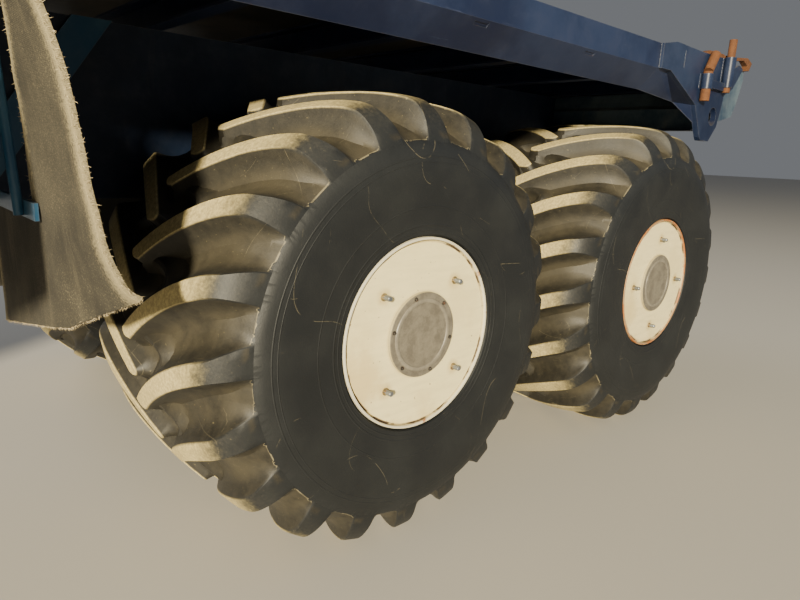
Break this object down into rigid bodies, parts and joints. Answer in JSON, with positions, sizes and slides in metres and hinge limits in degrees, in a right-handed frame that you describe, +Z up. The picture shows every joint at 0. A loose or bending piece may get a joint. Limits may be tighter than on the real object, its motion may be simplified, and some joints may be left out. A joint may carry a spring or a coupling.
{
  "type": "articulated flatbed truck",
  "caption": "Off-road flatbed truck hinged in the middle, with very wide lugged tyres, steel deck, cab ahead and mud flaps.",
  "frame": {"origin": "on the ground under the middle of the truck's overall box", "axes": "+X forward, +Y the truck's left, +Z up"},
  "size_m": [9.824, 3.29, 3.4943],
  "materials": {
    "tyre": "dark rubber, dusty tan lug faces",
    "wheel_white": "cream paint, dusty and chipped, grey hub plate",
    "blue_paint": "scuffed navy paint with dust and rust at the edges",
    "cab_blue": "navy gloss paint, weathered",
    "deck_steel": "worn steel deck plate with rust",
    "chassis_dark": "dark blue chassis paint with dust",
    "rust": "rough orange rust",
    "belting": "dusty grey-brown belting with frayed edges",
    "cylinder_paint": "black paint",
    "chrome_rod": "polished rod",
    "engine_grey": "grey engine paint",
    "exhaust": "heat-stained steel",
    "glass": "tinted glass",
    "seat": "dark woven seat cloth",
    "dash": "black dashboard plastic",
    "lamp": "clear lamp lens",
    "red_lamp": "red lens",
    "mirror": "mirror glass in a black frame"
  },
  "bodies": {
    "rear_frame": {"deck_frame": "blue_paint", "deck_plate": "deck_steel", "rear_rails": "chassis_dark", "rear_corner_brackets": "blue_paint", "corner_pins": "rust", "rear_beam": "blue_paint", "tandem_drive": "chassis_dark", "tandem_suspension": "chassis_dark", "mud_flaps": "belting", "flap_hangers": "blue_paint", "tool_box": "blue_paint", "fuel_tank": "blue_paint", "headboard": "blue_paint", "tail_lamps": "red_lamp"},
    "yoke": {"pivot_yoke": "chassis_dark"},
    "front_frame": {"front_rails": "chassis_dark", "front_axle": "chassis_dark", "engine_block": "engine_grey", "engine_hood": "cab_blue", "exhaust_stack": "exhaust", "front_fenders": "cab_blue", "cab_steps": "chassis_dark", "front_bumper": "blue_paint", "headlamps": "lamp", "cab_shell": "cab_blue", "cab_glass": "glass", "cab_seats": "seat", "dashboard": "dash", "mirrors": "mirror"},
    "steer_barrel_left": {"steering_barrel_left": "cylinder_paint"},
    "steer_barrel_right": {"steering_barrel_right": "cylinder_paint"},
    "steer_rod_left": {"steering_rod_left": "chrome_rod"},
    "steer_rod_right": {"steering_rod_right": "chrome_rod"},
    "cab_door_left": {"door_left": "cab_blue", "door_glass_left": "glass"},
    "cab_door_right": {"door_right": "cab_blue", "door_glass_right": "glass"},
    "front_wheel_left": {"tyre_front_left": "tyre", "wheel_front_left": "wheel_white"},
    "front_wheel_right": {"tyre_front_right": "tyre", "wheel_front_right": "wheel_white"},
    "middle_wheel_left": {"tyre_middle_left": "tyre", "wheel_middle_left": "wheel_white"},
    "middle_wheel_right": {"tyre_middle_right": "tyre", "wheel_middle_right": "wheel_white"},
    "rear_wheel_left": {"tyre_rear_left": "tyre", "wheel_rear_left": "wheel_white"},
    "rear_wheel_right": {"tyre_rear_right": "tyre", "wheel_rear_right": "wheel_white"}
  },
  "joints": [
    {"name": "front_wheel_spin_left", "type": "hinge", "parent": "front_frame", "child": "front_wheel_left", "pos_m": [2.86, 1.048, 0.838], "axis": [0, 1, 0], "continuous": true},
    {"name": "front_wheel_spin_right", "type": "hinge", "parent": "front_frame", "child": "front_wheel_right", "pos_m": [2.86, -1.048, 0.838], "axis": [0, 1, 0], "continuous": true},
    {"name": "middle_wheel_spin_left", "type": "hinge", "parent": "rear_frame", "child": "middle_wheel_left", "pos_m": [-2.29, 1.048, 0.838], "axis": [0, 1, 0], "continuous": true},
    {"name": "middle_wheel_spin_right", "type": "hinge", "parent": "rear_frame", "child": "middle_wheel_right", "pos_m": [-2.29, -1.048, 0.838], "axis": [0, 1, 0], "continuous": true},
    {"name": "rear_wheel_spin_left", "type": "hinge", "parent": "rear_frame", "child": "rear_wheel_left", "pos_m": [-4.076, 1.048, 0.838], "axis": [0, 1, 0], "continuous": true},
    {"name": "rear_wheel_spin_right", "type": "hinge", "parent": "rear_frame", "child": "rear_wheel_right", "pos_m": [-4.076, -1.048, 0.838], "axis": [0, 1, 0], "continuous": true},
    {"name": "frame_roll", "type": "hinge", "parent": "rear_frame", "child": "yoke", "pos_m": [1.31, 0, 1.05], "axis": [1, 0, 0], "range_deg": [-10, 10]},
    {"name": "frame_steer", "type": "hinge", "parent": "yoke", "child": "front_frame", "pos_m": [1.31, 0, 1.05], "axis": [0, 0, 1], "range_deg": [-30, 30]},
    {"name": "barrel_swing_left", "type": "hinge", "parent": "yoke", "child": "steer_barrel_left", "pos_m": [1.11, 0.38, 0.96], "axis": [0, 0, 1], "range_deg": [-25, 25]},
    {"name": "rod_slide_left", "type": "slide", "parent": "steer_barrel_left", "child": "steer_rod_left", "axis": [1, 0, 0], "range_m": [-0.2, 0.2]},
    {"name": "door_hinge_left", "type": "hinge", "parent": "front_frame", "child": "cab_door_left", "pos_m": [4.5645, 1.218, 2.5], "axis": [0, 0, -1], "range_deg": [0, 70]},
    {"name": "barrel_swing_right", "type": "hinge", "parent": "yoke", "child": "steer_barrel_right", "pos_m": [1.11, -0.38, 0.96], "axis": [0, 0, 1], "range_deg": [-25, 25]},
    {"name": "rod_slide_right", "type": "slide", "parent": "steer_barrel_right", "child": "steer_rod_right", "axis": [1, 0, 0], "range_m": [-0.2, 0.2]},
    {"name": "door_hinge_right", "type": "hinge", "parent": "front_frame", "child": "cab_door_right", "pos_m": [4.5645, -1.218, 2.5], "axis": [0, 0, 1], "range_deg": [0, 70]}
  ],
  "couplings": [
    {"joint": "barrel_swing_left", "follows": "frame_steer", "ratio": 0.8},
    {"joint": "rod_slide_left", "follows": "frame_steer", "m_per_rad": -0.3705},
    {"joint": "barrel_swing_right", "follows": "frame_steer", "ratio": 0.8},
    {"joint": "rod_slide_right", "follows": "frame_steer", "m_per_rad": 0.3705}
  ]
}
